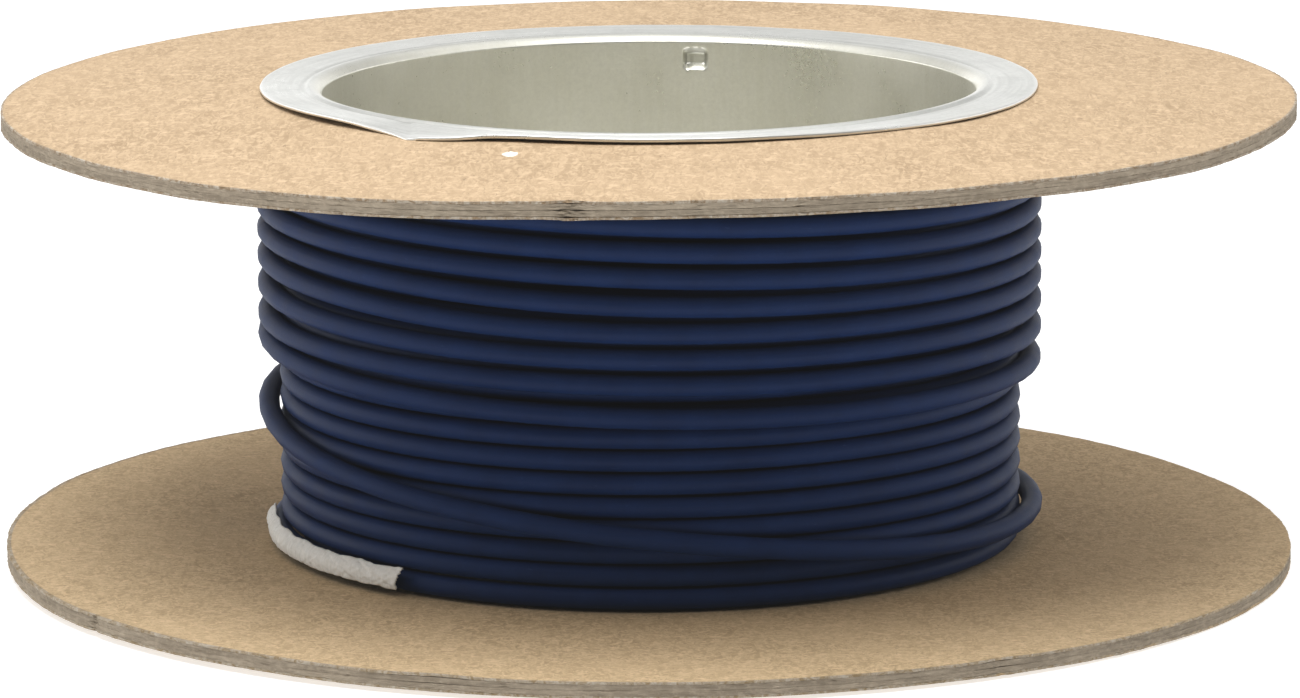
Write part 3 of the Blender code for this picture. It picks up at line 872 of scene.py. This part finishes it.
def tube(name, centres, radius, sides=14):
    """A closed round tube along a line that winds about the Z axis."""
    ahead = np.gradient(centres, axis=0)
    ahead /= np.linalg.norm(ahead, axis=1)[:, None]
    outward = centres * np.array([1.0, 1.0, 0.0])
    outward -= ahead * np.sum(outward * ahead, axis=1)[:, None]
    outward /= np.linalg.norm(outward, axis=1)[:, None]
    upward = np.cross(ahead, outward)
    angle = np.arange(sides) * TURN / sides
    ring = np.cos(angle)[None, :, None] * outward[:, None, :]
    ring = ring + np.sin(angle)[None, :, None] * upward[:, None, :]
    grid = centres[:, None, :] + radius * ring
    obj = skin(name, grid, False, True)
    built = bmesh.new()
    built.from_mesh(obj.data)
    open_edges = [edge for edge in built.edges if edge.is_boundary]
    bmesh.ops.holes_fill(built, edges=open_edges, sides=sides)
    bmesh.ops.recalc_face_normals(built, faces=built.faces)
    built.to_mesh(obj.data)
    built.free()
    face_outward(obj)
    shade_round(obj.data, 50)
    return obj


def make_wire(material):
    """The wire as one tube of its real length."""
    route = wire_route()
    centres = xyz(route[:, 1], route[:, 0], route[:, 2])
    wire = tube("hook_up_wire", centres, WIRE_RADIUS * MM)
    nodes = ["wire_layer_1", "wire_layer_2", "wire_layer_3", "wire_crossing"]
    place(wire, material, "wire_insulation", *nodes)


# ---------------------------------------------------------------- tape

TAPE_FROM, TAPE_TO = 178.0, 229.6
TAPE_RADIUS = 36.7
TAPE_HEIGHT = 3.85
TAPE_SHEET = 0.13
TAPE_UP, TAPE_DOWN = 74.0, -37.0  # how far round the wire it reaches, in degrees above level


def make_end_tape(material):
    """The strip over the wire's end: it hugs the wire, is crinkled, and ends in a torn edge."""
    rng = np.random.default_rng(71)
    columns, rows = 230, 19
    across = np.linspace(0.0, 1.0, rows)
    torn = TAPE_TO + 0.5 * across + rng.uniform(-0.22, 0.22, rows)
    started = TAPE_FROM - 0.5 * smooth(across * 4 - 3) + rng.uniform(-0.2, 0.2, rows)
    along = np.linspace(0.0, 1.0, columns)[:, None]
    azimuth = started[None, :] + (torn - started)[None, :] * along
    top = TAPE_UP + 5 * ripple(azimuth[:, -1], 72, 8, 50)
    foot = TAPE_DOWN + 4 * ripple(azimuth[:, 0], 73, 8, 60)
    around = np.radians(foot[:, None] + (top - foot)[:, None] * across[None, :])
    crinkle = ripple(azimuth + 10 * across[None, :], 74, 60, 190, 14)
    crinkle = crinkle + 0.8 * ripple(azimuth - 7 * across[None, :], 75, 90, 260, 10)
    top_free = 0.5 + 0.5 * np.abs(ripple(azimuth, 76, 8, 40))
    top_free = smooth((across - 0.78) / 0.22)[None, :] * top_free
    foot_free = 0.3 + 0.7 * np.abs(ripple(azimuth, 77, 8, 40))
    foot_free = smooth((0.16 - across) / 0.16)[None, :] * foot_free
    hug = WIRE_RADIUS + 0.15 + 0.035 * crinkle + 0.12 * top_free + 0.12 * foot_free
    end_curl = smooth((azimuth - TAPE_TO + 1.6) / 1.6)
    hug = hug + 0.07 * end_curl * smooth(across[None, :] * 2.5 - 1.5)
    hug = hug + 0.22 * smooth((TAPE_FROM + 3.5 - azimuth) / 3.5)
    radius = TAPE_RADIUS + hug * np.cos(around)
    height = TAPE_HEIGHT + hug * np.sin(around)
    tape = skin("end_tape_strip", xyz(radius, azimuth, height))
    solidify = tape.modifiers.new("Thickness", "SOLIDIFY")
    solidify.thickness = TAPE_SHEET * MM
    solidify.offset = 0.0
    shade_round(tape.data, 60)
    place(tape, material, "masking_tape", "end_tape")


def dress_hidden_nodes(material):
    """The strip under the first layer keeps its CAD shape."""
    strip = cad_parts["start_tape"]
    strip.data.materials.clear()
    strip.data.materials.append(material)


# ---------------------------------------------------------------- stage

CAMERA_PLACE = Vector((0.0, -0.8248, 0.18075))
CAMERA_PITCH = 0.1914             # radians downwards
CAMERA_ROLL = -0.005
LENS_MM = 235.4
SENSOR_MM = 36.0
FRONT_LIGHT = 0.02                # strengths of the surround
WALL_LIGHT = 1.4
SIDE_BOOST = 1.8
CEILING_LIGHT = 1.05
SOFT_BOX_PLACE = (-0.05, -0.12, 0.41)
SOFT_BOX_TARGET = (0.0, -0.01, 0.04)
SOFT_BOX_SIZE = 0.35
SOFT_BOX_POWER = 1.8              # watts
FLOOR_GLOW = 0.62
VEIL = 0.0075                     # the faint haze a lens lays over dark places


def make_camera():
    """A long lens, a little above the spool."""
    ahead = Vector((0.0, math.cos(CAMERA_PITCH), -math.sin(CAMERA_PITCH)))
    right = Vector((1.0, 0.0, 0.0))
    up = right.cross(ahead)
    turned_right = math.cos(CAMERA_ROLL) * right + math.sin(CAMERA_ROLL) * up
    turned_up = math.cos(CAMERA_ROLL) * up - math.sin(CAMERA_ROLL) * right
    axes = Matrix((turned_right, turned_up, -ahead)).transposed()
    data = bpy.data.cameras.new("camera")
    data.lens = LENS_MM
    data.sensor_width = SENSOR_MM
    data.clip_start = 0.01
    camera = bpy.data.objects.new("camera", data)
    camera.matrix_world = Matrix.Translation(CAMERA_PLACE) @ axes.to_4x4()
    bpy.context.scene.collection.objects.link(camera)
    bpy.context.scene.camera = camera


def add_area(name, stand, target, size, power):
    data = bpy.data.lights.new(name, "AREA")
    data.shape = "DISK"
    data.size = size
    data.energy = power
    light = bpy.data.objects.new(name, data)
    light.location = stand
    light.rotation_euler = (Vector(target) - Vector(stand)).to_track_quat("-Z", "Y").to_euler()
    bpy.context.scene.collection.objects.link(light)


def make_surround():
    """A studio's light: a bright ceiling, bright walls at the back and sides, and a dim front."""
    world = bpy.data.worlds.new("surround")
    world.use_nodes = True
    tree = world.node_tree
    background = tree.nodes["Background"]

    def ramp(source, low, high, to_low, to_high):
        node = tree.nodes.new("ShaderNodeMapRange")
        node.interpolation_type = "SMOOTHSTEP"
        settings = {"From Min": low, "From Max": high, "To Min": to_low, "To Max": to_high}
        for key, value in settings.items():
            node.inputs[key].default_value = value
        tree.links.new(source, node.inputs["Value"])
        return node.outputs["Result"]

    def combine(operation, first, second):
        node = tree.nodes.new("ShaderNodeMath")
        node.operation = operation
        tree.links.new(first, node.inputs[0])
        tree.links.new(second, node.inputs[1])
        return node.outputs[0]

    direction = tree.nodes.new("ShaderNodeSeparateXYZ")
    around = tree.nodes.new("ShaderNodeTexCoord").outputs["Generated"]
    tree.links.new(around, direction.inputs[0])
    right, back, up = direction.outputs
    walls = ramp(back, -0.7, 0.2, FRONT_LIGHT, WALL_LIGHT)
    walls = combine("MULTIPLY", walls, ramp(right, -0.9, 0.9, 1.12, 0.82))
    walls = combine("MULTIPLY", walls, ramp(up, 0.12, 0.42, 1.0, 0.45))
    either_side = combine("MULTIPLY", right, right)
    walls = combine("MULTIPLY", walls, ramp(either_side, 0.3, 0.9, 1.0, SIDE_BOOST))
    ceiling = ramp(up, 0.52, 0.74, 0.0, CEILING_LIGHT)
    strength = combine("MAXIMUM", walls, ceiling)
    seen = tree.nodes.new("ShaderNodeLightPath").outputs["Is Camera Ray"]
    strength = combine("MAXIMUM", strength, seen)
    tree.links.new(strength, background.inputs["Strength"])
    background.inputs["Color"].default_value = (1.0, 1.0, 1.0, 1.0)
    bpy.context.scene.world = world


def make_stage():
    """A pale floor, the surround, and a soft box high above the spool's front left."""
    bpy.ops.mesh.primitive_grid_add(x_subdivisions=8, y_subdivisions=8, size=6.0)
    floor = bpy.context.active_object
    floor.name = "floor"
    floor.data.materials.append(floor_material())
    make_surround()
    add_area("soft_box", SOFT_BOX_PLACE, SOFT_BOX_TARGET, SOFT_BOX_SIZE, SOFT_BOX_POWER)
    view = bpy.context.scene.view_settings
    view.view_transform = "Standard"
    view.look = "None"
    view.use_curve_mapping = True
    view.curve_mapping.black_level = (-VEIL, -VEIL, -VEIL)
    view.curve_mapping.update()


def main():
    make_camera()
    make_wire(wire_material())
    kraft_upper = kraft_material(
        "kraft_upper", (0.48, 0.352, 0.224), (0.395, 0.284, 0.176), (0.325, 0.230, 0.138), 3.6, 0.6,
        marks=[(-13.0, -40.5, 0.7, 1.0)])
    kraft_lower = kraft_material(
        "kraft_lower", (0.57, 0.425, 0.258), (0.46, 0.340, 0.200), (0.36, 0.265, 0.150), 1.8, 0.6)
    chip_a = chipboard_material("chipboard_outer", (0.335, 0.280, 0.210), (0.220, 0.180, 0.132))
    chip_b = chipboard_material("chipboard_inner", (0.310, 0.260, 0.195), (0.195, 0.158, 0.115))
    make_boards(kraft_upper, kraft_lower, chip_a, chip_b)
    make_barrel(metal_material())
    tape = tape_material()
    make_end_tape(tape)
    dress_hidden_nodes(tape)
    make_stage()


main()
